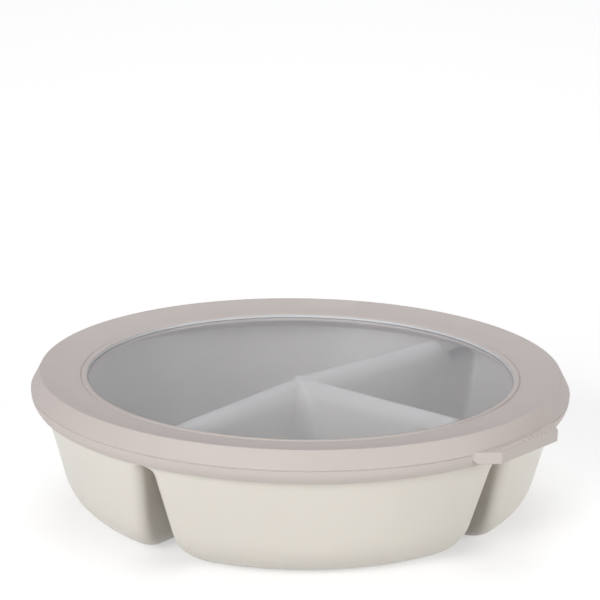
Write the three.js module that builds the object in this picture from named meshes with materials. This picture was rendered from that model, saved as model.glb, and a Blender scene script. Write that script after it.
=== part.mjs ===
// A round lunch bowl of three sections, with its lid.
// The bowl is one moulding: three pods hang from one rim, and an open notch runs between each two.
// The lid is a stiff window held in a soft ring, and the ring's lip is the pull tab.
// Millimetres, +Z up. The origin is on the bowl's axis, on the face it stands on. -Y is the front.

import * as THREE from 'three';
import { mergeVertices } from 'three/addons/utils/BufferGeometryUtils.js';

// Bowl: outer wall
const RIM_RADIUS = 100.7;    // outside of the bowl at the top of its rim
const RIM_TOP = 47.1;        // top of the rim above the table
const WALL = 1.8;            // thickness of every wall
const RIM_EDGE = 0.45;       // chamfer of the rim
const WALL_LEAN = 15.3;      // degrees that the outer wall leans in towards the base
const BASE_ROUND = 21.2;     // radius of the bend from the outer wall into the base

// Bowl: dividers and the notches under them
const LEFT_DIVIDER = -125.5; // degrees from +X to the front left divider
const RIGHT_DIVIDER = -40.5; // degrees from +X to the front right divider
const BACK_DIVIDER = 45.5;   // degrees from +X to the back right divider
const CREST_RISE = 3.2;      // top of the dividers above the rim
const NOTCH_ROUND = 4.0;     // radius of a notch's ceiling
const SIDE_LEAN = 4.7;       // degrees that a notch's wall leans
const SIDE_ROUND = 11;       // radius of the bend from a notch's wall into the base
const CORNER_ROUND = 4.5;    // radius of a pod's upright corners, outside
const HUB_ROUND = 8;         // radius of a small pod's corner at the hub, outside
const HUB_BEND = 12;         // radius of the large pod's shallow bend at the hub, inside
const CORNER_GROWTH = 7;     // depth under the crest at which the corners have their full radius
const DIP_LEAD = 6.6;        // a divider starts to dip this far inside the ring's ledge
const DIP_LENGTH = 11;       // length of the dip

// Lid: soft ring
const SKIRT_THICKNESS = 2.6; // at the skirt's foot
const SKIRT_FLARE = 1.3;     // from the skirt's foot out to the seam edge, the widest of the ring
const SKIRT_DEPTH = 5.6;     // foot of the skirt under the seam edge
const SEAM_RISE = 1.6;       // seam edge above the bowl's rim
const SEAM_STEP = 0.4;       // step from the seam edge in to the skirt
const BAND_INSET = 3.5;      // from the seam edge in to the ring's highest circle
const BAND_RISE = 6.8;       // the highest circle above the seam edge
const TOP_WIDTH = 17.1;      // from the highest circle in to the middle of the bead
const TOP_SAG = 0.35;        // hollow of the ring's top between the highest circle and the bead
const BEAD_WIDTH = 2.2;      // bead round the window
const BEAD_RISE = 1.5;       // top of the bead above the window
const BEAD_HEIGHT = 0.35;    // top of the bead above the ring's top
const PLUG_DEPTH = 4.6;      // foot of the plug under the seam edge
const PLUG_THICKNESS = 2.4;
const LEDGE_REACH = 0.7;     // ledge under the window, inwards past the bead
const LEDGE_THICKNESS = 1.2;
const SOFT_EDGE = 0.8;       // chamfer of the ring's outer edges

// Lid: window
const WINDOW_GAP = 0.8;      // dividers to the window
const WINDOW_THICKNESS = 1.2;
const WINDOW_TUCK = 4.1;     // edge of the window inside the ring

// Lid: pull tab
const TAB_AZIMUTH = -38.8;   // degrees from +X to the tab's middle
const TAB_REACH = 4.3;       // the tab's straight edge past the seam edge
const TAB_TIP_WIDTH = 36;
const TAB_ROOT_WIDTH = 49;
const TAB_THICKNESS = 4.6;
const TAB_EDGE = 0.5;        // chamfer of the tab's edges
const TAB_RISE = 0.6;        // top of the tab above the seam edge

// Fits
const SEAT_GAP = 0.3;        // between faces that rest on each other
const PLUG_CLEARANCE = 0.5;  // plug to the bowl's inner wall, and window to the end of its slot
const SKIRT_CLEARANCE = 0.4; // skirt to the bowl's rim
const DIVIDER_CLEARANCE = 0.6; // foot of the plug to the dividers' low ends

// How finely curves are divided
const LATHE_STEPS = 60;
const ARC_STEP = 6;          // degrees for each step along the outer wall
const CREST_ANGLES = [0, 35, 70]; // degrees from the top of a crest
const BEND_STEPS = 4;
const DIVIDER_STEPS = 3;     // on the level stretch of a divider, and again on its dip
const CORNER_STEPS = 3;
const HUB_STEPS = 3;
const TAB_ROOT_STEPS = 10;
const MERGE = 1e-4;          // points closer than this are one point

const DEGREE = Math.PI / 180;
const wallLean = WALL_LEAN * DEGREE;
const sideLean = SIDE_LEAN * DEGREE;
const dividers = [LEFT_DIVIDER, RIGHT_DIVIDER, BACK_DIVIDER].map((azimuth) => azimuth * DEGREE);

// Heights that the bowl and the lid share
const crestTop = RIM_TOP + CREST_RISE;
const seamHeight = RIM_TOP + SEAM_RISE;
const plugFoot = seamHeight - PLUG_DEPTH;
const dividerEnd = plugFoot - DIVIDER_CLEARANCE;
const windowFoot = crestTop + WINDOW_GAP;
const windowTop = windowFoot + WINDOW_THICKNESS;

// Radii that the bowl and the lid share
const skirtInside = RIM_RADIUS + SKIRT_CLEARANCE;
const skirtFoot = skirtInside + SKIRT_THICKNESS;
const lidRadius = skirtFoot + SKIRT_FLARE;
const ringCrest = lidRadius - BAND_INSET;
const beadMiddle = ringCrest - TOP_WIDTH;
const beadInside = beadMiddle - BEAD_WIDTH / 2;
const windowRadius = beadInside + WINDOW_TUCK;
const ledgeRadius = beadInside - LEDGE_REACH;
const dipStart = ledgeRadius - DIP_LEAD;
const dipEnd = dipStart + DIP_LENGTH;

// Radius of the round wall at a height. inset is 0 on the outside and WALL on the inside.
function wallRadius(height, inset) {
  const bend = BASE_ROUND - inset;
  const straight = (z) => RIM_RADIUS - (RIM_TOP - z) * Math.tan(wallLean);
  if (height >= BASE_ROUND - bend * Math.sin(wallLean)) {
    return straight(height) - inset / Math.cos(wallLean);
  }
  const bendCentre = straight(BASE_ROUND) - BASE_ROUND / Math.cos(wallLean);
  return bendCentre + Math.sqrt(Math.max(0, bend ** 2 - (BASE_ROUND - height) ** 2));
}

// Distance of a divider's wall from the divider's middle plane, at a height.
function sideOffset(height, inset) {
  const crest = NOTCH_ROUND + inset;
  const crestCentre = crestTop - WALL - NOTCH_ROUND;
  if (height > crestCentre + crest * Math.sin(sideLean)) {
    return Math.sqrt(Math.max(0, crest ** 2 - (height - crestCentre) ** 2));
  }
  const straight = (z) => crest / Math.cos(sideLean) + (crestCentre - z) * Math.tan(sideLean);
  const bend = SIDE_ROUND - inset;
  if (height >= SIDE_ROUND - bend * Math.sin(sideLean)) {
    return straight(height);
  }
  const bendCentre = straight(SIDE_ROUND) + bend / Math.cos(sideLean);
  return bendCentre - Math.sqrt(Math.max(0, bend ** 2 - (SIDE_ROUND - height) ** 2));
}

// Top of a divider at a distance from the axis: level, then a smooth dip to the wall.
function crestHeight(radius) {
  const dip = THREE.MathUtils.smoothstep(radius, dipStart, dipEnd);
  return THREE.MathUtils.lerp(crestTop, dividerEnd, dip);
}

// A section's two dividers and the angle between them.
function section(pod) {
  const first = dividers[pod];
  const second = dividers[(pod + 1) % dividers.length];
  return { first, second, span: THREE.MathUtils.euclideanModulo(second - first, 2 * Math.PI) };
}

// Counting from 0 to 1 in even steps.
function evenly(steps) {
  return Array.from({ length: steps + 1 }, (_, k) => k / steps);
}

function arcSteps(span) {
  return Math.round(span / DEGREE / ARC_STEP);
}

// The places along a divider where a pod's outline has points, as shares of the way from the hub.
function dividerShares(endRadius) {
  const level = evenly(DIVIDER_STEPS).slice(0, -1).map((t) => t * dipStart);
  const dip = evenly(DIVIDER_STEPS).map((t) => THREE.MathUtils.lerp(dipStart, dipEnd, t));
  return [...level, ...dip].map((radius) => radius / endRadius);
}

// One closed outline of a pod, counter-clockwise from above: a sector whose straight sides stand
// off the dividers by side, with rounded corners at the wall and at the hub.
// shares are the places of the points on a straight side, and each point keeps its own,
// which later gives the height of the crest above it.
function podOutline(pod, shares, wall, side, corner, hub) {
  const { first, second, span } = section(pod);
  const points = [];
  const add = (x, y, share) => points.push({ x, y, share });
  const cornerAlong = Math.sqrt((wall - corner) ** 2 - (side + corner) ** 2);
  const cornerTurn = Math.asin((side + corner) / (wall - corner));
  const bisector = first + span / 2;
  const hubAlong = (side + hub) / Math.tan(span / 2);

  const addStraight = (azimuth, turn, list) => {
    for (const share of list) {
      const along = THREE.MathUtils.lerp(hubAlong, cornerAlong, share);
      const x = along * Math.cos(azimuth) - turn * side * Math.sin(azimuth);
      const y = along * Math.sin(azimuth) + turn * side * Math.cos(azimuth);
      add(x, y, share);
    }
  };
  const addCorner = (azimuth, turn) => {
    const centreX = cornerAlong * Math.cos(azimuth) - turn * (side + corner) * Math.sin(azimuth);
    const centreY = cornerAlong * Math.sin(azimuth) + turn * (side + corner) * Math.cos(azimuth);
    const onSide = azimuth - turn * Math.PI / 2;
    const onWall = azimuth + turn * cornerTurn;
    const [from, to] = turn > 0 ? [onSide, onWall] : [onWall, onSide];
    for (const t of evenly(CORNER_STEPS).slice(0, -1)) {
      const angle = THREE.MathUtils.lerp(from, to, t);
      add(centreX + corner * Math.cos(angle), centreY + corner * Math.sin(angle), 1);
    }
  };

  addStraight(first, 1, shares);
  addCorner(first, 1);
  for (const t of evenly(arcSteps(span)).slice(0, -1)) {
    const angle = first + THREE.MathUtils.lerp(cornerTurn, span - cornerTurn, t);
    add(wall * Math.cos(angle), wall * Math.sin(angle), 1);
  }
  addCorner(second, -1);
  add(
    cornerAlong * Math.cos(second) + side * Math.sin(second),
    cornerAlong * Math.sin(second) - side * Math.cos(second),
    1,
  );
  addStraight(second, -1, shares.toReversed());
  const hubTurn = (Math.PI - span) / 2;
  const hubCentre = (side + hub) / Math.sin(span / 2);
  for (const t of evenly(HUB_STEPS).slice(1, -1)) {
    const angle = bisector + THREE.MathUtils.lerp(-hubTurn, hubTurn, t);
    const x = hubCentre * Math.cos(bisector) - hub * Math.cos(angle);
    const y = hubCentre * Math.sin(bisector) - hub * Math.sin(angle);
    add(x, y, 0);
  }
  return points;
}

// The heights, under a crest of full height, at which a pod's skin has an outline.
function levelHeights(inset) {
  const crest = NOTCH_ROUND + inset;
  const top = crestTop - WALL + inset;
  const crown = CREST_ANGLES.map((angle) => top - crest * (1 - Math.cos(angle * DEGREE)));
  const bend = evenly(BEND_STEPS).map((t) => {
    const angle = THREE.MathUtils.lerp(wallLean, Math.PI / 2, t);
    return BASE_ROUND - (BASE_ROUND - inset) * Math.sin(angle);
  });
  const grown = crown.at(-1) - CORNER_GROWTH;
  return [...crown, (crown.at(-1) + grown) / 2, grown, ...bend];
}

// One skin of a pod as rows of points, from its crests down to its floor.
// inset is 0 for the outer skin and WALL for the inner one.
function podSkin(pod, inset) {
  const heights = levelHeights(inset);
  const top = heights[0];
  const floor = inset;
  const drop = WALL - inset;
  const wallTop = dividerEnd - drop;
  const topWall = wallRadius(wallTop, inset);
  const shares = dividerShares(topWall);
  const large = section(pod).span > Math.PI;
  return heights.map((height) => {
    const share = (height - floor) / (top - floor);
    const growth = Math.min(1, (top - height) / CORNER_GROWTH);
    const wall = wallRadius(floor + (wallTop - floor) * share, inset);
    const corner = (CORNER_ROUND - inset) * growth;
    const hub = (large ? drop - HUB_BEND : HUB_ROUND - inset) * growth;
    const outline = podOutline(pod, shares, wall, sideOffset(height, inset), corner, hub);
    return outline.map(({ x, y, share: along }) => {
      const crest = crestHeight(along * topWall) - drop;
      return new THREE.Vector3(x, y, floor + (crest - floor) * share);
    });
  });
}

// Collects triangles, leaving out those that have no area because two corners meet.
class Skin {
  constructor() {
    this.values = [];
  }

  triangle(a, b, c) {
    const meets = (p, q) => p.distanceTo(q) < MERGE;
    if (meets(a, b) || meets(b, c) || meets(c, a)) return;
    for (const p of [a, b, c]) this.values.push(p.x, p.y, p.z);
  }

  // Joins each row to the next one. Rows run counter-clockwise from above and downwards outside.
  loft(rows, inward) {
    const count = rows[0].length;
    for (let j = 0; j + 1 < rows.length; j += 1) {
      for (let k = 0; k < count; k += 1) {
        const next = (k + 1) % count;
        const [a, b, c, d] = [rows[j + 1][k], rows[j + 1][next], rows[j][next], rows[j][k]];
        if (inward) {
          this.triangle(c, b, a);
          this.triangle(d, c, a);
        } else {
          this.triangle(a, b, c);
          this.triangle(a, c, d);
        }
      }
    }
  }

  // Fills a flat outline from its middle.
  cap(row, upward) {
    const middle = row.reduce((sum, p) => sum.add(p), new THREE.Vector3()).divideScalar(row.length);
    row.forEach((p, k) => {
      const q = row[(k + 1) % row.length];
      if (upward) this.triangle(middle, p, q);
      else this.triangle(middle, q, p);
    });
  }

  geometry() {
    const loose = new THREE.BufferGeometry();
    loose.setAttribute('position', new THREE.Float32BufferAttribute(this.values, 3));
    return mergeVertices(loose, MERGE);
  }
}

// The bowl: inner and outer skins of three pods, and the round band that carries the rim.
function bowlGeometry() {
  const skin = new Skin();
  const azimuths = [];
  dividers.forEach((_, pod) => {
    for (const inset of [0, WALL]) {
      const rows = podSkin(pod, inset);
      skin.loft(rows, inset > 0);
      skin.cap(rows.at(-1), inset > 0);
    }
    const { first, span } = section(pod);
    azimuths.push(...evenly(arcSteps(span)).slice(0, -1).map((t) => first + span * t));
  });
  const shoulder = RIM_TOP - RIM_EDGE;
  const outerFoot = dividerEnd - WALL;
  const profile = [
    [wallRadius(dividerEnd, WALL), dividerEnd],
    [wallRadius(shoulder, WALL), shoulder],
    [wallRadius(RIM_TOP, WALL) + RIM_EDGE, RIM_TOP],
    [RIM_RADIUS - RIM_EDGE, RIM_TOP],
    [wallRadius(shoulder, 0), shoulder],
    [wallRadius(outerFoot, 0), outerFoot],
  ];
  const rings = profile.map(([radius, z]) => azimuths.map(
    (azimuth) => new THREE.Vector3(radius * Math.cos(azimuth), radius * Math.sin(azimuth), z),
  ));
  skin.loft(rings, false);
  return skin.geometry();
}

// Turns a profile of radius and height round the axis.
function turned(profile) {
  const points = profile.map(([radius, z]) => new THREE.Vector2(radius, z));
  return new THREE.LatheGeometry(points, LATHE_STEPS).rotateX(Math.PI / 2);
}

// The soft ring: skirt outside the bowl's rim, plug inside it, sloped top, bead and window slot.
function ringGeometry() {
  const foot = seamHeight - SKIRT_DEPTH;
  const crest = seamHeight + BAND_RISE;
  const bead = windowTop + BEAD_RISE;
  const beadFoot = bead - BEAD_HEIGHT;
  const beadOutside = beadMiddle + BEAD_WIDTH / 2;
  const slotTop = windowTop + SEAT_GAP;
  const slotFloor = windowFoot - SEAT_GAP;
  const slotEnd = windowRadius + PLUG_CLEARANCE;
  const ledgeFoot = slotFloor - LEDGE_THICKNESS;
  const grooveTop = RIM_TOP + SEAT_GAP;
  const plugOutside = (z) => wallRadius(z, WALL) - PLUG_CLEARANCE;
  const plugInside = plugOutside(plugFoot) - PLUG_THICKNESS;
  const topMiddle = (beadOutside + ringCrest) / 2;
  return turned([
    [skirtFoot - SOFT_EDGE, foot],
    [skirtFoot, foot + SOFT_EDGE],
    [lidRadius - SEAM_STEP, seamHeight - SEAM_STEP],
    [lidRadius, seamHeight],
    [ringCrest + SOFT_EDGE / 2, crest - SOFT_EDGE],
    [ringCrest - SOFT_EDGE / 2, crest],
    [topMiddle, (crest + beadFoot) / 2 - TOP_SAG],
    [beadOutside, beadFoot],
    [beadMiddle, bead],
    [beadInside, beadFoot],
    [beadInside, slotTop],
    [slotEnd, slotTop],
    [slotEnd, slotFloor],
    [ledgeRadius, slotFloor],
    [ledgeRadius, ledgeFoot],
    [plugInside, ledgeFoot],
    [plugInside, plugFoot + SOFT_EDGE],
    [plugInside + SOFT_EDGE, plugFoot],
    [plugOutside(plugFoot) - SOFT_EDGE, plugFoot],
    [plugOutside(plugFoot + SOFT_EDGE), plugFoot + SOFT_EDGE],
    [plugOutside(grooveTop), grooveTop],
    [skirtInside, grooveTop],
    [skirtInside, foot + SOFT_EDGE],
    [skirtInside + SOFT_EDGE, foot],
    [skirtFoot - SOFT_EDGE, foot],
  ]);
}

function windowGeometry() {
  return turned([
    [0, windowFoot],
    [windowRadius, windowFoot],
    [windowRadius, windowTop],
    [0, windowTop],
  ]);
}

// The pull tab: a lip with a straight tip and slanted ends, hollowed to the ring behind it.
// It is drawn pointing along +X and turned to its place afterwards.
function tabGeometry() {
  const root = lidRadius + SEAT_GAP;
  const tip = lidRadius + TAB_REACH;
  const halfTurn = Math.asin(TAB_ROOT_WIDTH / 2 / root);
  const outline = new THREE.Shape();
  outline.moveTo(tip, -TAB_TIP_WIDTH / 2);
  outline.lineTo(tip, TAB_TIP_WIDTH / 2);
  for (const t of evenly(TAB_ROOT_STEPS)) {
    const angle = THREE.MathUtils.lerp(halfTurn, -halfTurn, t);
    outline.lineTo(root * Math.cos(angle), root * Math.sin(angle));
  }
  outline.closePath();
  return new THREE.ExtrudeGeometry(outline, {
    depth: TAB_THICKNESS - 2 * TAB_EDGE,
    bevelThickness: TAB_EDGE,
    bevelSize: TAB_EDGE,
    bevelOffset: -TAB_EDGE,
    bevelSegments: 1,
  });
}

function plastic(colour, roughness, options = {}) {
  return new THREE.MeshStandardMaterial({ color: colour, roughness, metalness: 0, ...options });
}

function piece(name, geometry, material) {
  const mesh = new THREE.Mesh(geometry, material);
  mesh.name = name;
  return mesh;
}

const cream = plastic(0xdfdad2, 0.5);
const greige = plastic(0xc6bcb7, 0.6);
const milky = plastic(0xb4b4b2, 0.3, { transparent: true, opacity: 0.55 });

const bowl = piece('bowl', bowlGeometry(), cream);
const ring = piece('lid_rim', ringGeometry(), greige);
const pane = piece('lid_window', windowGeometry(), milky);
const tab = piece('pull_tab', tabGeometry(), greige);
tab.rotation.z = TAB_AZIMUTH * DEGREE;
tab.position.z = seamHeight + TAB_RISE - TAB_THICKNESS + TAB_EDGE;

const lid = new THREE.Group();
lid.add(ring, pane, tab);

const part = new THREE.Group();
part.add(bowl, lid);

export default part;
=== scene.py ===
# %% [markdown]
# # A three-section bowl with its lid
# The real object is a lunch bowl of off-white plastic. Three pods hang from one round rim, and the folds
# between them are the dividers. A lid closes it: a soft ring in pinkish beige holds a milky window.
# The CAD model gives the sizes, the bodies and the joints. This lesson gives it its looks, in the CAD
# model's own frame: metres, +Z up, the bowl's axis at the origin, and -Y towards the camera.

import bmesh
import bpy
import numpy as np
from mathutils import Matrix, Vector


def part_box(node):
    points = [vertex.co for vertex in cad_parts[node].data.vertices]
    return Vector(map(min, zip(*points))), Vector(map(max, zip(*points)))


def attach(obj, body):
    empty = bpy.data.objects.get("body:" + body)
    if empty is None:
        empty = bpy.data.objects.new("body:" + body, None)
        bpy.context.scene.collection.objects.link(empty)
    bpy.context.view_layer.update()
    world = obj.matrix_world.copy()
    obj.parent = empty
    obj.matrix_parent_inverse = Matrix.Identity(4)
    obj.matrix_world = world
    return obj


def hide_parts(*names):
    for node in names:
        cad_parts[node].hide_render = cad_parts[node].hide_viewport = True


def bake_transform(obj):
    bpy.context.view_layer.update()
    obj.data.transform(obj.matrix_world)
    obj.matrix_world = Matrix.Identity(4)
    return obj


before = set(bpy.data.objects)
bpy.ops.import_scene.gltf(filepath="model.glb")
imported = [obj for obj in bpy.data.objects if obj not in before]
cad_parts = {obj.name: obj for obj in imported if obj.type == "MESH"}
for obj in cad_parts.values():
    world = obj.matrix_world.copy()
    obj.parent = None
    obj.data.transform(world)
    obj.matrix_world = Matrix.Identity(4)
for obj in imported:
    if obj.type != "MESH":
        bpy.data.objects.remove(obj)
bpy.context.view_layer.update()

# %% [markdown]
# ## Sizes
# The main radii and heights are read from the CAD nodes' boxes, so this file follows the CAD model when it
# changes. Shapes are worked out in millimetres, in which a bowl is easy to think about, and are turned into
# metres only when they become a mesh.

# %% Main sizes, in millimetres
MM = 0.001


def node_box(name):
    """Lowest and highest corner of a CAD node, in millimetres."""
    low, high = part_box(name)
    return np.array(low) / MM, np.array(high) / MM


_, bowl_high = node_box("bowl")
ring_low, ring_high = node_box("lid_rim")
pane_low, pane_high = node_box("lid_window")
tab_low, tab_high = node_box("pull_tab")

CREST_TOP = bowl_high[2]      # top of the dividers
RIM_RADIUS = 100.7            # outside of the bowl at its rim
RIM_TOP = CREST_TOP - 3.2     # top of the rim
WALL = 1.8                    # thickness of the bowl's walls
LID_RADIUS = ring_high[0]     # at the seam edge, the widest circle of the lid
RING_TOP = ring_high[2]       # highest circle of the ring
SKIRT_FOOT = ring_low[2]      # lower edge of the ring
SEAM = SKIRT_FOOT + 5.6       # height of the seam edge
print("lid", round(2 * LID_RADIUS), "mm across, whole height", round(RING_TOP, 1), "mm")

# %% [markdown]
# ## Camera
# The picture was taken from over a metre away with a long lens, a little above the table. The values were
# found by fitting the lid's circles to the picture. A look-at camera would put the lid in the middle of the
# frame, so the camera is then turned until the middle of the seam circle falls where the picture has it.

# %% Camera
PICTURE_WIDTH = 600           # pixels
FOCAL_PIXELS = 3013.5         # focal length in pixels
CAMERA_DISTANCE = 1178.2      # mm from the middle of the seam circle
CAMERA_ELEVATION = np.radians(17.171)
CAMERA_ROLL = np.radians(-0.828)
SEAM_MIDDLE_RIGHT = 1.63      # pixels from the picture's middle to the middle of the seam circle
SEAM_MIDDLE_DOWN = 84.27


def turn(angle, first, second):
    """A 3x3 turn by an angle that carries axis number first towards axis number second."""
    matrix = np.eye(3)
    matrix[[first, second], [first, second]] = np.cos(angle)
    matrix[second, first] = np.sin(angle)
    matrix[first, second] = -np.sin(angle)
    return matrix


def photo_camera():
    """Camera that looks at the seam's middle, then is panned, tilted and rolled."""
    right = np.array([1.0, 0.0, 0.0])
    back = np.array([0.0, -np.cos(CAMERA_ELEVATION), np.sin(CAMERA_ELEVATION)])
    up = np.cross(back, right)
    pan = np.arctan2(SEAM_MIDDLE_RIGHT, FOCAL_PIXELS)
    tilt = np.arctan2(-SEAM_MIDDLE_DOWN, FOCAL_PIXELS)
    axes = turn(CAMERA_ROLL, 0, 1) @ turn(tilt, 2, 1) @ turn(pan, 2, 0) @ np.array([right, up, -back])
    place = Matrix.Identity(4)
    for k, axis in enumerate([axes[0], axes[1], -axes[2]]):
        place.col[k].xyz = axis
    place.col[3].xyz = (np.array([0, 0, SEAM]) + back * CAMERA_DISTANCE) * MM
    data = bpy.data.cameras.new("photo_camera")
    data.sensor_width = 36
    data.lens = data.sensor_width * FOCAL_PIXELS / PICTURE_WIDTH
    data.clip_start, data.clip_end = 0.01, 20
    camera = bpy.data.objects.new("photo_camera", data)
    camera.matrix_world = place
    bpy.context.scene.collection.objects.link(camera)
    bpy.context.scene.camera = camera
    return camera


camera = photo_camera()
print("lens", round(camera.data.lens, 1), "mm, at", np.round(camera.location, 3))

# %% [markdown]
# ## From formulas to meshes
# The Bevel and Subdivision modifiers could round plain blocks into these pieces, but with a formula each
# curve gets the radius that is asked for. So every piece below is one or more grids of points that formulas
# place. A grid has rows and columns, and its last column joins its first, like a tube. Where a row shrinks
# to one point it makes a pole, and where two grids share an edge they make a seam. Merging the points that
# fall together closes both.

# %% Grids into a mesh
MERGE = 2e-6                  # metres: points closer than this are one point


def cells(rows, columns):
    """The four corners of each cell of a grid whose columns wrap round."""
    row, column = np.meshgrid(np.arange(rows - 1), np.arange(columns), indexing="ij")
    beside = (column + 1) % columns
    corners = [row, row + 1, row + 1, row], [column, column, beside, beside]
    return np.stack([r * columns + c for r, c in zip(*corners)], -1).reshape(-1, 4)


def make_piece(name, grids):
    """One mesh of several grids in millimetres. Each grid is (points, inside out)."""
    starts = np.cumsum([0] + [points.shape[0] * points.shape[1] for points, _ in grids])
    faces = []
    for (points, inside_out), start in zip(grids, starts):
        corners = cells(*points.shape[:2]) + start
        faces.append(corners[:, ::-1] if inside_out else corners)
    vertices = np.vstack([points.reshape(-1, 3) for points, _ in grids]) * MM
    mesh = bpy.data.meshes.new(name)
    mesh.from_pydata(vertices.tolist(), [], np.vstack(faces).tolist())
    merged = bmesh.new()
    merged.from_mesh(mesh)
    bmesh.ops.remove_doubles(merged, verts=merged.verts, dist=MERGE)
    open_edges = sum(not edge.is_manifold for edge in merged.edges)
    merged.to_mesh(mesh)
    merged.free()
    mesh.polygons.foreach_set("use_smooth", np.ones(len(mesh.polygons), bool))
    piece = bpy.data.objects.new(name, mesh)
    bpy.context.scene.collection.objects.link(piece)
    print(name, len(mesh.vertices), "points,", open_edges, "open edges")
    return piece


# %% [markdown]
# ## The bowl's walls
# The bowl is one moulding with an even wall, so each pod has an outer skin and an inner skin a wall apart.
# It could be modelled by cutting a disc with wedges and rounding what is left, but the rounds would fight
# each other where the notch, the base and the wall meet. Here each curve is a formula of the height:
# how far the round wall is from the axis, and how far a notch's wall is from the divider's middle.

# %% Curves of the bowl
WALL_LEAN = np.radians(15.3)
BASE_ROUND = 21.2             # bend from the round wall into the base
NOTCH_ROUND = 2.6             # ceiling of a notch, outside
CREST_ROUND = 5.8             # top of a divider, inside
NOTCH_LEAN, CREST_LEAN = np.radians([6.2, 4.7])
SIDE_ROUND = 11.0             # bend from a notch's wall into the base
DIVIDER_END = SEAM - 5.2      # height of a divider where it meets the round wall
DIP_START, DIP_END = 76.0, 87.0  # radii between which a divider's crest dips


def wall_radius(height, inset):
    """A straight leaning line from the rim down to an arc of radius BASE_ROUND that ends flat on the base.
    inset is 0 on the outer skin and WALL on the inner one."""
    bend = BASE_ROUND - inset

    def lean(z):
        return RIM_RADIUS - (RIM_TOP - z) * np.tan(WALL_LEAN)

    middle = lean(BASE_ROUND) - BASE_ROUND / np.cos(WALL_LEAN)
    arc = middle + np.sqrt(np.maximum(0, bend**2 - (BASE_ROUND - height) ** 2))
    line = lean(height) - inset / np.cos(WALL_LEAN)
    return np.where(height >= BASE_ROUND - bend * np.sin(WALL_LEAN), line, arc)


def divider_shape(inset):
    """Round at the top of a divider and lean of its side, for the outer skin, the inner one or between."""
    share = inset / WALL
    return NOTCH_ROUND + (CREST_ROUND - NOTCH_ROUND) * share, NOTCH_LEAN + (CREST_LEAN - NOTCH_LEAN) * share


def side_offset(height, inset):
    """A quarter round at the crest, a leaning line, and an arc of radius SIDE_ROUND into the base."""
    crest, tilt = divider_shape(inset)
    middle = CREST_TOP - WALL + inset - crest
    crown = np.sqrt(np.maximum(0, crest**2 - (height - middle) ** 2))

    def lean(z):
        return crest / np.cos(tilt) + (middle - z) * np.tan(tilt)

    bend = SIDE_ROUND - inset
    arc_middle = lean(SIDE_ROUND) + bend / np.cos(tilt)
    arc = arc_middle - np.sqrt(np.maximum(0, bend**2 - (SIDE_ROUND - height) ** 2))
    side = np.where(height < SIDE_ROUND - bend * np.sin(tilt), arc, lean(height))
    return np.where(height > middle + crest * np.sin(tilt), crown, side)


def crest_height(radius):
    """Level out to DIP_START, then a smooth step down to DIVIDER_END."""
    t = np.clip((radius - DIP_START) / (DIP_END - DIP_START), 0, 1)
    return CREST_TOP + (DIVIDER_END - CREST_TOP) * t * t * (3 - 2 * t)


base_radius = float(wall_radius(np.array(0.0), 0))
print("flat base to radius", round(base_radius, 1), "mm")

# %% [markdown]
# ## The pods
# Seen from above, a pod is a slice of cake with rounded corners. At each height its outline has two straight
# sides, the round wall, two corners and the tip at the hub. The corners grow from sharp at the crest to
# their full radius below it. One row of the grid is one outline, and the rows run from the crest to the
# middle of the floor.

# %% Sizes and rows of a pod
DIVIDERS = np.radians([-125.5, -40.5, 45.5])
CORNER_ROUND = 4.5            # between a straight side and the round wall
HUB_ROUND = 8.0               # tip of a small pod
HUB_BEND = 12.0               # the large pod bends round the hub
CORNER_GROWTH = 4.0, 9.0      # depth under the crest where a corner is full grown, outside and inside
CROWN_ROWS, WALL_ROWS, BEND_ROWS, FLOOR_ROWS = 11, 14, 20, 6
SIDE_COLUMNS, CORNER_COLUMNS, HUB_COLUMNS = 34, 10, 10
ARC_STEP = np.radians(1.6)


def pod_heights(inset):
    """Rows of a pod: even steps of angle round the crest and the base bend, even steps of height between."""
    top = CREST_TOP - WALL + inset
    crest, tilt = divider_shape(inset)
    round_angles = np.linspace(0, np.pi / 2 - tilt, CROWN_ROWS)
    crown = top - crest * (1 - np.cos(round_angles))
    bend_angles = np.linspace(WALL_LEAN, np.pi / 2, BEND_ROWS)
    bend = BASE_ROUND - (BASE_ROUND - inset) * np.sin(bend_angles)
    wall = np.linspace(crown[-1], bend[0], WALL_ROWS)
    return np.concatenate([crown, wall[1:-1], bend])[:, None]


def arc_columns(span):
    """Columns along the round wall of a pod that spans this angle."""
    return int(round(span / ARC_STEP))


spans = (np.roll(DIVIDERS, -1) - DIVIDERS) % (2 * np.pi)
print("sections span", np.round(np.degrees(spans), 1), "degrees, rows of a skin", len(pod_heights(0)))

# %% [markdown]
# ### One skin of a pod
# The outline is put together from six stretches, each a function of the row's sizes: a straight side, a
# corner, the round wall, the other corner, the other side and the tip. A stretch gives its points, and how
# far out along the divider each of them is, because the divider's crest dips towards the rim.


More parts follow.
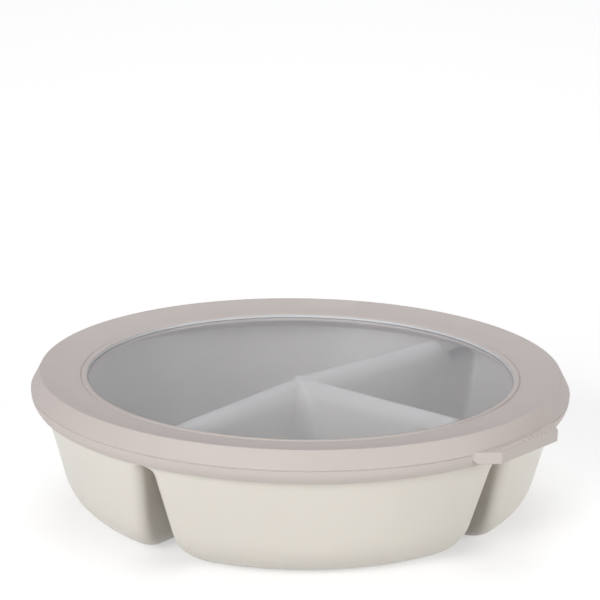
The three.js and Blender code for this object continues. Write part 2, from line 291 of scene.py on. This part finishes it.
# %% One skin of a pod
def pod_skin(first, second, inset):
    """One skin of the pod between two dividers: outlines by height, then rings that close the floor.
    Along a straight side the crest dips, so a point's height is its share of the way from floor to crest."""
    span = (second - first) % (2 * np.pi)
    height = pod_heights(inset)
    top, floor, drop = height[0, 0], inset, WALL - inset
    share = (height - floor) / (top - floor)
    wall_top = DIVIDER_END - drop
    wall = wall_radius(floor + (wall_top - floor) * share, inset)
    side = side_offset(height, inset)
    young = np.clip(1 - (top - height) / CORNER_GROWTH[inset > 0], 0, 1)
    growth = 1 - young**2
    corner = (CORNER_ROUND - inset) * growth
    hub = (HUB_ROUND - inset if span < np.pi else drop - HUB_BEND) * growth

    corner_along = np.sqrt((wall - corner) ** 2 - (side + corner) ** 2)
    corner_turn = np.arcsin((side + corner) / (wall - corner))
    hub_along = (side + hub) / np.tan(span / 2)

    def straight(azimuth, hand, shares):
        along = hub_along + (corner_along - hub_along) * shares
        x = along * np.cos(azimuth) - hand * side * np.sin(azimuth)
        y = along * np.sin(azimuth) + hand * side * np.cos(azimuth)
        return x, y, shares + 0 * along

    def rounded(azimuth, hand, steps):
        middle_x = corner_along * np.cos(azimuth) - hand * (side + corner) * np.sin(azimuth)
        middle_y = corner_along * np.sin(azimuth) + hand * (side + corner) * np.cos(azimuth)
        on_side = azimuth - hand * np.pi / 2
        on_wall = azimuth + hand * corner_turn
        angle = on_side + (on_wall - on_side) * steps
        return middle_x + corner * np.cos(angle), middle_y + corner * np.sin(angle), 1 + 0 * angle

    def round_wall(steps):
        angle = first + corner_turn + (span - 2 * corner_turn) * steps
        return wall * np.cos(angle), wall * np.sin(angle), 1 + 0 * angle

    def tip(steps):
        middle = (side + hub) / np.sin(span / 2)
        bisector = first + span / 2
        angle = bisector + (np.pi - span) / 2 * (2 * steps - 1)
        x = middle * np.cos(bisector) - hub * np.cos(angle)
        y = middle * np.sin(bisector) - hub * np.sin(angle)
        return x, y, 0 * x

    shares = np.linspace(0, 1, SIDE_COLUMNS)[None]
    corners = np.linspace(0, 1, CORNER_COLUMNS)[None]
    parts = [
        straight(first, 1, shares),
        rounded(first, 1, corners[:, 1:]),
        round_wall(np.linspace(0, 1, arc_columns(span) + 1)[None, 1:-1]),
        rounded(second, -1, corners[:, ::-1]),
        straight(second, -1, shares[:, -2::-1]),
        tip(np.linspace(0, 1, HUB_COLUMNS)[None, 1:-1]),
    ]
    x, y, out = (np.hstack(values) for values in zip(*parts))
    crest = crest_height(out * wall_radius(np.array(wall_top), inset)) - drop
    outlines = np.stack([x, y, floor + (crest - floor) * share], -1)
    edge = outlines[-1]
    inwards = np.linspace(1, 0, FLOOR_ROWS)[1:, None, None]
    floor_rings = edge.mean(0) + (edge - edge.mean(0)) * inwards
    return np.vstack([outlines, floor_rings])


pod = pod_skin(DIVIDERS[0], DIVIDERS[1], 0)
print("the front pod's outer skin has", pod.shape[0], "rows and", pod.shape[1], "columns")

# %% [markdown]
# ## Turned profiles
# The rim, the boss, the ring and the window are profiles turned round the axis. Blender's Screw modifier
# could turn them, but in a grid the rim's columns can stand where the pods' columns are. A profile is
# easiest to write as a polygon with a radius at each corner, so one helper rounds any polygon.

# %% A polygon with rounded corners
ROUND_STEPS = 7
FLAT_GUARD = 0.3              # mm from an arc to the point that guards the flat beside it


def rounded_profile(corners, steps=ROUND_STEPS, closed=True):
    """corners are rows of (radius, height, corner radius). Each corner becomes an arc that touches both of
    its edges: it starts r * tan(turn / 2) before the corner, and it is swept evenly by angle. A point a
    little before and after each arc keeps the shading of the straight stretches flat."""
    place, size = np.array(corners)[:, :2], np.array(corners)[:, 2:]
    into = place - np.roll(place, 1, 0)
    out = np.roll(place, -1, 0) - place
    into /= np.linalg.norm(into, axis=1, keepdims=True)
    out /= np.linalg.norm(out, axis=1, keepdims=True)
    side = into[:, :1] * out[:, 1:] - into[:, 1:] * out[:, :1]
    bend = np.arctan2(side, (into * out).sum(1, keepdims=True))
    start = place - into * size * np.abs(np.tan(bend / 2))
    left = np.stack([-into[:, 1], into[:, 0]], -1) * np.sign(bend)
    angle = bend * np.linspace(0, 1, steps)
    along = np.sin(np.abs(angle))[..., None] * into[:, None]
    across = (1 - np.cos(angle))[..., None] * left[:, None]
    arcs = start[:, None] + size[:, None] * (along + across)
    if not closed:
        arcs[[0, -1]] = place[[0, -1], None]
    after = np.roll(arcs[:, 0], -1, 0) - arcs[:, -1]
    length = np.linalg.norm(after, axis=1, keepdims=True)
    guard = after * np.minimum(FLAT_GUARD / np.maximum(length, FLAT_GUARD), 1 / 3)
    before = arcs[:, :1] - np.roll(guard, 1, 0)[:, None]
    beyond = arcs[:, -1:] + guard[:, None]
    profile = np.concatenate([before, arcs, beyond], 1).reshape(-1, 2)
    return profile if closed else profile[1:-1]


def turned(profile, azimuths):
    """A profile of (radius, height) turned round the axis: one row for each point of the profile."""
    radius, height = profile[:, :1], profile[:, 1:]
    x, y = radius * np.cos(azimuths), radius * np.sin(azimuths)
    return np.stack([x, y, height + 0 * x], -1)


print("a rounded corner has", ROUND_STEPS + 2, "points with its guards")

# %% [markdown]
# ## The rim and the whole bowl
# A narrow round band joins the three pods and ends in the rim that the lid snaps over. A Boolean union would
# leave slivers where it meets the pods, so its columns stand at the same azimuths as theirs, and the seam
# closes by merging.

# %% Bowl
RIM_ROUND = 0.6


def rim_band():
    """Up the inside of the wall, over the rounded rim and down the outside."""
    starts = [first + span * np.arange(arc_columns(span)) / arc_columns(span)
              for first, span in zip(DIVIDERS, spans)]
    low = DIVIDER_END - WALL
    profile = rounded_profile([
        (float(wall_radius(DIVIDER_END, WALL)), DIVIDER_END, 0),
        (float(wall_radius(RIM_TOP, WALL)), RIM_TOP, RIM_ROUND),
        (RIM_RADIUS, RIM_TOP, RIM_ROUND),
        (float(wall_radius(low, 0)), low, 0),
    ], closed=False)
    return turned(profile, np.concatenate(starts))


def make_bowl():
    """The rim's band, and an outer and an inner skin for each pod."""
    grids = [(rim_band(), False)]
    for first, second in zip(DIVIDERS, np.roll(DIVIDERS, -1)):
        grids.append((pod_skin(first, second, 0), False))
        grids.append((pod_skin(first, second, WALL), True))
    return make_piece("bowl_shell", grids)


bowl = make_bowl()
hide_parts("bowl")
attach(bowl, "bowl")

# %% [markdown]
# ## The boss on the hub
# Where the three dividers meet, the moulding has a small round boss. A squashed sphere would do from afar,
# but light picks out the fine ring round its dome, so it is a turned profile too.

# %% Boss
BOSS_RADIUS = 2.3
BOSS_RISE = 0.5               # above the hub; the window is a little higher
BOSS_SUNK = 1.2               # foot under the hub's crest
BOSS_COLUMNS = 48


def make_boss():
    """Turned profile: a foot in the hub, a rounded shoulder, a shallow ring groove and a domed middle."""
    top = CREST_TOP + BOSS_RISE
    profile = rounded_profile([
        (0, CREST_TOP - BOSS_SUNK, 0),
        (BOSS_RADIUS + 0.3, CREST_TOP - BOSS_SUNK, 0),
        (BOSS_RADIUS, top - 0.1, 0.3),
        (BOSS_RADIUS - 0.6, top - 0.05, 0.2),
        (BOSS_RADIUS - 0.9, top - 0.3, 0.2),
        (BOSS_RADIUS - 1.3, top - 0.1, 0.5),
        (0, top, 0),
    ], closed=False)
    azimuths = np.linspace(0, 2 * np.pi, BOSS_COLUMNS, endpoint=False)
    return make_piece("hub_boss", [(turned(profile, azimuths), True)])


boss = make_boss()
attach(boss, "bowl")

# %% [markdown]
# ## The lid's soft ring
# The ring is what a hand meets: a band that slopes up from the seam edge, a broad top that slopes down to a
# bead, and a skirt that hugs the bowl's rim. Under it are the plug that seals and the slot that holds the
# window. Stacked tori would never meet cleanly, so it is one closed profile turned round the axis. Fine
# grooves at the seam and at the bead are in the profile, because a groove in a bump map has no real edge.

# %% Sizes of the ring
RING_COLUMNS = 240
SKIRT_FOOT_RADIUS = LID_RADIUS - 2.1
SKIRT_ROUND = 6.0             # the skirt curves in towards its foot
RING_CREST = LID_RADIUS - 3.5
TOP_SAG, SAG_ROUND = 0.35, 60.0  # the broad top is a little hollow
BEAD_HALF = 1.1               # half the bead's width
BEAD_MIDDLE = RING_CREST - 17.1
BEAD_INSIDE = BEAD_MIDDLE - BEAD_HALF
BEAD_OUTSIDE = BEAD_MIDDLE + BEAD_HALF
BEAD_RISE = 0.35              # above its foot
BEAD_GROOVE = 0.3             # depth and half width of the groove round the bead
PANE_FOOT, PANE_TOP = pane_low[2], pane_high[2]
BEAD_TOP = PANE_TOP + 1.5
PANE_RIM_RISE = 0.9           # of the window's upturned rim, above its plate
PANE_RIM_WIDTH = 0.6
LEDGE_REACH, LEDGE_DEPTH = 0.7, 1.2  # of the ledge under the window
print("bead from radius", round(BEAD_INSIDE, 1), "to", round(BEAD_OUTSIDE, 1), "mm")

# %% Ring
TOUCH = 0.02                  # pieces that meet keep this gap
SEAT_GAP = 0.3
PLUG_CLEARANCE = 0.5
SKIRT_CLEARANCE = 0.4
PLUG_FOOT = SEAM - 4.6
PLUG_THICKNESS = 2.4


def make_ring():
    """Counter-clockwise in (radius, height): skirt, groove under the seam edge, sloped band, top, groove,
    bead, recess of the window's rim, slot, ledge, plug, and the groove that the bowl's rim goes into."""
    bead_foot = BEAD_TOP - BEAD_RISE
    slot_top, slot_floor = PANE_TOP + TOUCH, PANE_FOOT - TOUCH
    slot_end = pane_high[0] + PLUG_CLEARANCE
    lip_foot = PANE_TOP + PANE_RIM_RISE + TOUCH
    lip_back = BEAD_INSIDE + PANE_RIM_WIDTH + TOUCH
    ledge_radius, ledge_foot = BEAD_INSIDE - LEDGE_REACH, slot_floor - LEDGE_DEPTH
    groove_top = RIM_TOP + SEAT_GAP

    def plug(z):
        return float(wall_radius(np.array(z), WALL)) - PLUG_CLEARANCE

    plug_inside = plug(PLUG_FOOT) - PLUG_THICKNESS
    skirt_inside = RIM_RADIUS + SKIRT_CLEARANCE
    profile = rounded_profile([
        (SKIRT_FOOT_RADIUS, SKIRT_FOOT, 0.6),
        (LID_RADIUS - 0.25, SKIRT_FOOT + 2.8, SKIRT_ROUND),
        (LID_RADIUS - 0.15, SEAM - 0.55, 0.15),
        (LID_RADIUS - 0.55, SEAM - 0.3, 0.05),
        (LID_RADIUS, SEAM, 0.15),
        (RING_CREST, RING_TOP, 0.45),
        ((RING_CREST + BEAD_OUTSIDE) / 2, (RING_TOP + bead_foot) / 2 - TOP_SAG, SAG_ROUND),
        (BEAD_OUTSIDE + BEAD_GROOVE, bead_foot, 0.1),
        (BEAD_OUTSIDE, bead_foot - BEAD_GROOVE, 0.08),
        (BEAD_OUTSIDE - 0.35, BEAD_TOP, 0.3),
        (BEAD_INSIDE, bead_foot, 0.2),
        (BEAD_INSIDE, lip_foot, 0.05),
        (lip_back, lip_foot, 0.05),
        (lip_back, slot_top, 0.05),
        (slot_end, slot_top, 0.1),
        (slot_end, slot_floor, 0.1),
        (ledge_radius, slot_floor, 0.1),
        (ledge_radius, ledge_foot, 0.3),
        (plug_inside, ledge_foot, 0.8),
        (plug_inside, PLUG_FOOT, 0.8),
        (plug(PLUG_FOOT), PLUG_FOOT, 0.8),
        (plug(groove_top), groove_top, 0.2),
        (skirt_inside, groove_top, 0.2),
        (skirt_inside, SKIRT_FOOT, 0.8),
    ])
    azimuths = np.linspace(0, 2 * np.pi, RING_COLUMNS, endpoint=False)
    return make_piece("lid_ring", [(turned(np.vstack([profile, profile[:1]]), azimuths), True)])


ring = make_ring()
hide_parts("lid_rim")
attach(ring, "lid")

# %% [markdown]
# ## The window
# The window is a stiff plate of milky plastic, tucked into the ring's slot, with a low rim that stands up
# inside the bead. A plane would look the same from above at first sight, but a real plate bends the light
# twice and shifts what lies under it, so it is a closed turned profile with its true thickness. The flat
# stretches must shade flat, or the plate would act as a lens.

# %% Window
def make_window():
    """Turned profile: under the plate, round the tucked edge, up and over the rim, and in along the top."""
    radius = pane_high[0]
    rim_inside = BEAD_INSIDE
    rim_outside = rim_inside + PANE_RIM_WIDTH
    rim_top = PANE_TOP + PANE_RIM_RISE
    profile = rounded_profile([
        (0, PANE_FOOT, 0),
        (radius, PANE_FOOT, 0.25),
        (radius, PANE_TOP, 0.25),
        (rim_outside, PANE_TOP, 0.05),
        (rim_outside, rim_top, 0.1),
        (rim_inside, rim_top, 0.1),
        (rim_inside, PANE_TOP, 0.3),
        (0, PANE_TOP, 0),
    ], closed=False)
    azimuths = np.linspace(0, 2 * np.pi, RING_COLUMNS, endpoint=False)
    return make_piece("window_pane", [(turned(profile, azimuths), True)])


window = make_window()
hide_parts("lid_window")
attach(window, "lid")

# %% [markdown]
# ## The pull tab
# The tab is a short lip with a straight tip and slanted ends, and a row of plain ribs on top gives grip.
# On the real lid it grows out of the ring, so the top of its root is sunk in the ring and it bends there.
# A bevelled box could stand for it, but its root has to follow the round ring.
# It is a rounded rectangle carried along the tip. At both ends the rectangle shrinks along a quarter circle,
# which rounds the end edges too.

# %% Sizes, rows and columns of the tab
TAB_AZIMUTH = np.radians(-38.8)
TAB_ROOT = LID_RADIUS + 0.3   # where the tab leaves the ring
TAB_TIP = LID_RADIUS + 4.3
TAB_TIP_HALF, TAB_ROOT_HALF = 18.0, 24.5
TAB_SUNK = 0.45               # share of the tab's reach by which its root is sunk in the ring
TAB_FOOT, TAB_TOP = tab_low[2], tab_high[2]
TAB_ROUND = 0.55
RIB_PITCH, RIB_RISE = 2.4, 0.5
RIB_EDGES = -0.4, 0.6         # values of the wave between which a rib's side rises
RIB_ROW_HALF, RIB_ROW_FADE = 14.4, 0.2  # half length of the row of ribs
RIB_START, RIB_END, RIB_FADE = 0.7, 3.2, 0.4  # along the tab, from its tip
TAB_ROWS, TAB_END_ROWS, TAB_RUN_COLUMNS = 170, 6, 14
END_RING = 0.9                # size of the ring of points inside a flat end


def smooth_step(value, low, high):
    """0 up to low, 1 from high on, and a cubic between. With low above high it falls."""
    t = np.clip((value - low) / (high - low), 0, 1)
    return t * t * (3 - 2 * t)


def tab_rows():
    """Place across the tip and inset of each row. Over the end edges both follow a quarter circle.
    The last two rows on each side close the flat end."""
    angle = np.linspace(0, np.pi / 2, TAB_END_ROWS)
    end_across = TAB_TIP_HALF - TAB_ROUND * (1 - np.cos(angle))
    end_inset = TAB_ROUND * (1 - np.sin(angle))
    across = np.linspace(-end_across[-1], end_across[-1], TAB_ROWS)[1:-1]
    across = np.concatenate([-end_across, across, end_across[::-1]])
    inset = np.concatenate([end_inset, np.zeros(TAB_ROWS - 2), end_inset[::-1]])
    return across[:, None], inset[:, None]


def tab_columns():
    """Columns round the section: along the underside to the tip, round its two edges, and back on top.
    Gives the share of the way to the root, the arc's direction out and up, and 1 on the upper half."""
    run = np.linspace(1, 0, TAB_RUN_COLUMNS)
    angle = np.linspace(-np.pi / 2, 0, ROUND_STEPS)
    to_root = np.concatenate([run, 0 * angle[1:], 0 * angle[:-1], run[::-1]])
    out = np.concatenate([0 * run, np.cos(angle[1:]), np.cos(angle[:-1])[::-1], 0 * run])
    up = np.concatenate([0 * run - 1, np.sin(angle[1:]), -np.sin(angle[:-1])[::-1], 0 * run + 1])
    upper = np.repeat([0, 1], len(up) // 2)
    return to_root, out, up, upper


print("tab", round(TAB_TIP - TAB_ROOT, 1), "mm long with", len(tab_rows()[0]), "rows across")


# %% Tab
def make_tab():
    """A straight line runs from each place on the root's arc to one on the tip, and the top goes on past the
    arc into the ring. The section's points are measured from the tip along it. Ribs are a wave on the top."""
    across, inset = tab_rows()
    to_root, out, up, upper = tab_columns()
    root_angle = across / TAB_TIP_HALF * np.arcsin(TAB_ROOT_HALF / TAB_ROOT)
    root = np.stack([TAB_ROOT * np.cos(root_angle), TAB_ROOT * np.sin(root_angle)], -1)
    tip = np.stack([np.full_like(across, TAB_TIP), across], -1)
    reach = np.linalg.norm(tip - root, axis=-1)
    from_tip = TAB_ROUND - (TAB_ROUND - inset) * out + to_root * (reach * (1 + TAB_SUNK * upper) - TAB_ROUND)
    flat = tip + (root - tip) * (from_tip / reach)[..., None]
    height = np.where(upper, TAB_TOP - TAB_ROUND, TAB_FOOT + TAB_ROUND) + (TAB_ROUND - inset) * up
    wave = smooth_step(np.cos(2 * np.pi * across / RIB_PITCH), *RIB_EDGES)
    row = smooth_step(np.abs(across), RIB_ROW_HALF + RIB_ROW_FADE, RIB_ROW_HALF)
    rising = smooth_step(from_tip, RIB_START, RIB_START + RIB_FADE)
    band = rising * smooth_step(from_tip, RIB_END, RIB_END - RIB_FADE)
    height = height + RIB_RISE * wave * row * band * (up == 1)
    points = np.concatenate([flat, height[..., None]], -1)
    ends = [points[k].mean(0) + (points[k] - points[k].mean(0)) * share
            for k, share in ((0, 0), (0, END_RING), (-1, END_RING), (-1, 0))]
    points = np.concatenate([ends[:2], points, ends[2:]])
    points[..., :2] = points[..., :2] @ turn(TAB_AZIMUTH, 0, 1)[:2, :2].T
    return make_piece("pull_lip", [(points, False)])


tab = make_tab()
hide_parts("pull_tab")
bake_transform(tab)

# %% [markdown]
# ## Moulded grain
# All the plastics here come out of a mould, and a mould leaves the same marks on each: a fine grain that
# takes the mirror out of the gloss, patches that are a little more polished, and faint clouds in the colour.
# They could be drawn anew in every material. One node group that makes the three as masks is easier to
# change, and each material takes them at its own scale and strength.

# %% Moulded grain group
def link(tree, pairs):
    for source, target in pairs:
        tree.links.new(source, target)


def moulded_grain():
    """Three noises on Object coordinates. The inputs are the sizes of grain and cloud, as noise scales."""
    group = bpy.data.node_groups.new("moulded_grain", "ShaderNodeTree")
    for name, default in (("Grain Scale", 2500.0), ("Cloud Scale", 18.0)):
        socket = group.interface.new_socket(name, in_out="INPUT", socket_type="NodeSocketFloat")
        socket.default_value = default
    for name in ("Grain", "Cloud", "Polish"):
        group.interface.new_socket(name, in_out="OUTPUT", socket_type="NodeSocketFloat")
    inputs = group.nodes.new("NodeGroupInput")
    outputs = group.nodes.new("NodeGroupOutput")
    place = group.nodes.new("ShaderNodeTexCoord")
    grain, cloud, polish = (group.nodes.new("ShaderNodeTexNoise") for _ in range(3))
    grain.inputs["Detail"].default_value = 2.0
    cloud.inputs["Detail"].default_value = 3.0
    polish.inputs["Detail"].default_value = 4.0
    polish.inputs["Distortion"].default_value = 0.6
    denser = group.nodes.new("ShaderNodeMath")
    denser.operation = "MULTIPLY"
    denser.inputs[1].default_value = 4.0
    link(group, [
        (inputs.outputs["Grain Scale"], grain.inputs["Scale"]),
        (inputs.outputs["Cloud Scale"], cloud.inputs["Scale"]),
        (inputs.outputs["Cloud Scale"], denser.inputs[0]),
        (denser.outputs[0], polish.inputs["Scale"]),
        (grain.outputs["Fac"], outputs.inputs["Grain"]),
        (cloud.outputs["Fac"], outputs.inputs["Cloud"]),
        (polish.outputs["Fac"], outputs.inputs["Polish"]),
    ])
    link(group, [(place.outputs["Object"], noise.inputs["Vector"]) for noise in (grain, cloud, polish)])
    return group


grain_group = moulded_grain()
masks = [item.name for item in grain_group.interface.items_tree if item.in_out == "OUTPUT"]
print("group", grain_group.name, "gives", masks)

# %% [markdown]
# ## Three plastics
# The bowl is a satin off-white, the ring and tab a soft matt pinkish beige, and the window a milky plate
# that lets light through and blurs it a little. One function builds them all from the grain. Colours are
# written as they look in the picture and turned into the linear values that Blender mixes light in.

# %% Plastic from grain and colours
def linear(red, green, blue):
    """A screen colour of 0 to 255 as a linear colour: the usual curve of power 2.4 above a short line."""
    value = np.array([red, green, blue]) / 255
    curve = np.where(value <= 0.04045, value / 12.92, ((value + 0.055) / 1.055) ** 2.4)
    return (*curve, 1.0)


def plastic(name, light, dark, smooth, rough, grain_scale, grain_depth, cloud_scale):
    """Clouds mix two near colours, polish moves the roughness, and grain is a bump of a real depth."""
    material = bpy.data.materials.new(name)
    material.use_nodes = True
    tree = material.node_tree
    shader = tree.nodes["Principled BSDF"]
    marks = tree.nodes.new("ShaderNodeGroup")
    marks.node_tree = grain_group
    marks.inputs["Grain Scale"].default_value = grain_scale
    marks.inputs["Cloud Scale"].default_value = cloud_scale
    colour = tree.nodes.new("ShaderNodeMix")
    colour.data_type = "RGBA"
    colour.inputs["A"].default_value = linear(*dark)
    colour.inputs["B"].default_value = linear(*light)
    roughness = tree.nodes.new("ShaderNodeMapRange")
    roughness.inputs["From Min"].default_value = 0.3
    roughness.inputs["From Max"].default_value = 0.7
    roughness.inputs["To Min"].default_value = smooth
    roughness.inputs["To Max"].default_value = rough
    bump = tree.nodes.new("ShaderNodeBump")
    bump.inputs["Strength"].default_value = 1.0
    bump.inputs["Distance"].default_value = grain_depth * MM
    link(tree, [
        (marks.outputs["Cloud"], colour.inputs["Factor"]),
        (marks.outputs["Polish"], roughness.inputs["Value"]),
        (marks.outputs["Grain"], bump.inputs["Height"]),
        (colour.outputs["Result"], shader.inputs["Base Color"]),
        (roughness.outputs["Result"], shader.inputs["Roughness"]),
        (bump.outputs["Normal"], shader.inputs["Normal"]),
    ])
    return material, shader


print("a screen value of 128 is", round(linear(128, 128, 128)[0], 3), "in linear light")

# %% [markdown]
# ### Finish of the bowl, ring and tab
# Light goes a little way into the bowl's plastic before it comes out again, which softens its edges, so it
# has a small share of subsurface scattering. The ring is rougher and has a coarser grain.


# %% Finish of the bowl, ring and tab
GLOW_SHARE = 0.15             # of the light, which goes into the bowl's plastic and out again
GLOW_DEPTH = 0.0012           # metres


def dress(material, *pieces):
    for piece in pieces:
        piece.data.materials.clear()
        piece.data.materials.append(material)


cream, cream_shader = plastic("satin_cream", (229, 224, 215), (224, 219, 209), 0.30, 0.38, 1800, 0.002, 14)
cream_shader.inputs["Subsurface Weight"].default_value = GLOW_SHARE
cream_shader.inputs["Subsurface Radius"].default_value = (1.0, 0.8, 0.6)
cream_shader.inputs["Subsurface Scale"].default_value = GLOW_DEPTH
dress(cream, bowl, boss)

greige, _ = plastic("soft_greige", (208, 198, 193), (203, 193, 188), 0.52, 0.64, 2600, 0.006, 20)
dress(greige, ring, tab)
print("finishes", cream.name, "and", greige.name)

# %% [markdown]
# ### Finish of the window
# A plate can be made see-through with Alpha alone, but only Transmission bends what is seen. Where the
# window is thick, at its upturned rim, it lets little light through, so those faces have a second finish.

# %% Finish of the window
WINDOW_CLEAR = 0.95           # share of the light that goes through
WINDOW_IOR = 1.49             # of a clear hard plastic
LAMP_SHARE = 0.85             # of the lamps' light that reaches the inside of the bowl
RIM_BEND = 0.25               # mm from the rim's inner wall into the bend at its foot
ABOVE_PLATE = 0.01            # mm: what is higher belongs to the rim


def let_lamps_through(material, shader, share):
    """Lamps are sampled by shadow rays, which a bending plate would stop. This share of them goes through."""
    tree = material.node_tree
    path = tree.nodes.new("ShaderNodeLightPath")
    cover = tree.nodes.new("ShaderNodeMath")
    cover.operation = "MULTIPLY_ADD"
    cover.inputs[1].default_value = -share
    cover.inputs[2].default_value = 1.0
    link(tree, [(path.outputs["Is Shadow Ray"], cover.inputs[0]), (cover.outputs[0], shader.inputs["Alpha"])])


milky, milky_shader = plastic("milky_window", (228, 230, 235), (225, 227, 232), 0.03, 0.05, 900, 0.0006, 10)
milky_shader.inputs["Transmission Weight"].default_value = WINDOW_CLEAR
milky_shader.inputs["IOR"].default_value = WINDOW_IOR
let_lamps_through(milky, milky_shader, LAMP_SHARE)
dress(milky, window)

thick, _ = plastic("milky_rim", (212, 213, 215), (208, 209, 211), 0.3, 0.38, 900, 0.0006, 10)
window.data.materials.append(thick)


def faces_of_rim():
    """True for the window's faces that lie above its plate, from the rim's inner wall outwards."""
    centres = np.empty(3 * len(window.data.polygons))
    window.data.polygons.foreach_get("center", centres)
    x, y, z = centres.reshape(-1, 3).T / MM
    return (np.hypot(x, y) > BEAD_INSIDE - RIM_BEND) & (z > PANE_TOP + ABOVE_PLATE)


on_rim = faces_of_rim()
window.data.polygons.foreach_set("material_index", on_rim.astype(np.int32))
print("finishes", milky.name, "and", thick.name, "on", on_rim.sum(), "faces")

# %% [markdown]
# ## Studio
# The bowl stands on a plain pale floor. In the picture the floor is white, but a floor lit until it is white
# would throw light up into the notches. So it has some light of its own, which shows only where the floor is
# seen directly, and its diffuse part keeps the shadow under the bowl.

# %% Floor
FLOOR_HALF = 1.4              # metres
FLOOR_GLOW = 0.47             # white that the floor shows by itself
FLOOR_COLOUR = 0.8, 0.8, 0.8, 1.0


def seen_directly(tree):
    """1 for rays from the camera, a reflection or a clear plate, and 0 for those that carry light."""
    path = tree.nodes.new("ShaderNodeLightPath")
    result = path.outputs["Is Camera Ray"]
    for name in ("Is Glossy Ray", "Is Transmission Ray"):
        either = tree.nodes.new("ShaderNodeMath")
        either.operation = "MAXIMUM"
        link(tree, [(result, either.inputs[0]), (path.outputs[name], either.inputs[1])])
        result = either.outputs[0]
    return result


def make_floor():
    """A square whose own light shows only to the camera, in reflections and through the window."""
    mesh = bpy.data.meshes.new("floor")
    corners = FLOOR_HALF * np.array([(-1, -1, 0), (1, -1, 0), (1, 1, 0), (-1, 1, 0)])
    mesh.from_pydata(corners.tolist(), [], [(0, 1, 2, 3)])
    piece = bpy.data.objects.new("floor", mesh)
    bpy.context.scene.collection.objects.link(piece)
    material = bpy.data.materials.new("white_floor")
    material.use_nodes = True
    tree = material.node_tree
    shader = tree.nodes["Principled BSDF"]
    shader.inputs["Base Color"].default_value = FLOOR_COLOUR
    shader.inputs["Roughness"].default_value = 1.0
    shader.inputs["Specular IOR Level"].default_value = 0.0
    shader.inputs["Emission Color"].default_value = (1, 1, 1, 1)
    glow = tree.nodes.new("ShaderNodeMath")
    glow.operation = "MULTIPLY"
    glow.inputs[1].default_value = FLOOR_GLOW
    link(tree, [(seen_directly(tree), glow.inputs[0]), (glow.outputs[0], shader.inputs["Emission Strength"])])
    piece.data.materials.append(material)


make_floor()
print("floor", 2 * FLOOR_HALF, "m across")

# %% [markdown]
# ### Lamps
# The light comes from four large soft boxes: the strongest at the front left, a weaker one low at the right,
# and two more above and high at the back. Small lamps would give the satin plastic hard highlights.

# %% Lamps
LAMP_SIZE = 1.2               # metres
LAMP_AIM = 0.0, 0.0, 0.03     # the bowl's middle
LAMPS = (
    ("front_left", (-1.15, -1.64, 0.75), 30.5, (1.0, 1.0, 1.0)),
    ("side_right", (1.8, -0.9, 0.45), 19.0, (1.0, 1.0, 0.97)),
    ("above", (0.0, 0.0, 2.0), 7.0, (1.0, 1.0, 1.0)),
    ("high_back", (0.0, 1.4, 1.5), 9.5, (1.0, 1.0, 1.0)),
)


def lamp(name, place, watts, colour):
    """A square soft box that faces the bowl."""
    data = bpy.data.lights.new(name, "AREA")
    data.size = LAMP_SIZE
    data.energy = watts
    data.color = colour
    light = bpy.data.objects.new(name, data)
    light.location = place
    towards = np.array(LAMP_AIM) - np.array(place)
    light.rotation_mode = "QUATERNION"
    light.rotation_quaternion = Vector(towards).to_track_quat("-Z", "Y")
    bpy.context.scene.collection.objects.link(light)


for values in LAMPS:
    lamp(*values)
print("lamps", {name: watts for name, _, watts, _ in LAMPS}, "watts")

# %% [markdown]
# ### World
# A bright world alone would light every hollow evenly, so it is kept dim and the notches stay dark. Behind
# the floor the camera sees it as white. In reflections and through the window it is a pale grey.

# %% World
WORLD_FILL = 0.12             # light of the world on the object
WORLD_SHOWN = 0.37            # what the world shows in reflections and through the window
WORLD_COLOUR = 0.96, 0.98, 1.08, 1.0


def make_world():
    """A dim world that shows as white to the camera, and as pale in reflections and through the window."""
    world = bpy.data.worlds.new("studio")
    world.use_nodes = True
    tree = world.node_tree
    shade = tree.nodes.new("ShaderNodeMath")
    shade.operation = "MULTIPLY_ADD"
    shade.inputs[1].default_value = WORLD_SHOWN - WORLD_FILL
    shade.inputs[2].default_value = WORLD_FILL
    path = tree.nodes.new("ShaderNodeLightPath")
    behind = tree.nodes.new("ShaderNodeMath")
    behind.operation = "MAXIMUM"
    background = tree.nodes["Background"]
    background.inputs["Color"].default_value = WORLD_COLOUR
    link(tree, [
        (seen_directly(tree), shade.inputs[0]),
        (shade.outputs[0], behind.inputs[0]),
        (path.outputs["Is Camera Ray"], behind.inputs[1]),
        (behind.outputs[0], background.inputs["Strength"]),
    ])
    bpy.context.scene.world = world


make_world()
bpy.context.scene.view_settings.view_transform = "Standard"
print("world", bpy.context.scene.world.name, "fills with", WORLD_FILL, "and shows", WORLD_SHOWN)
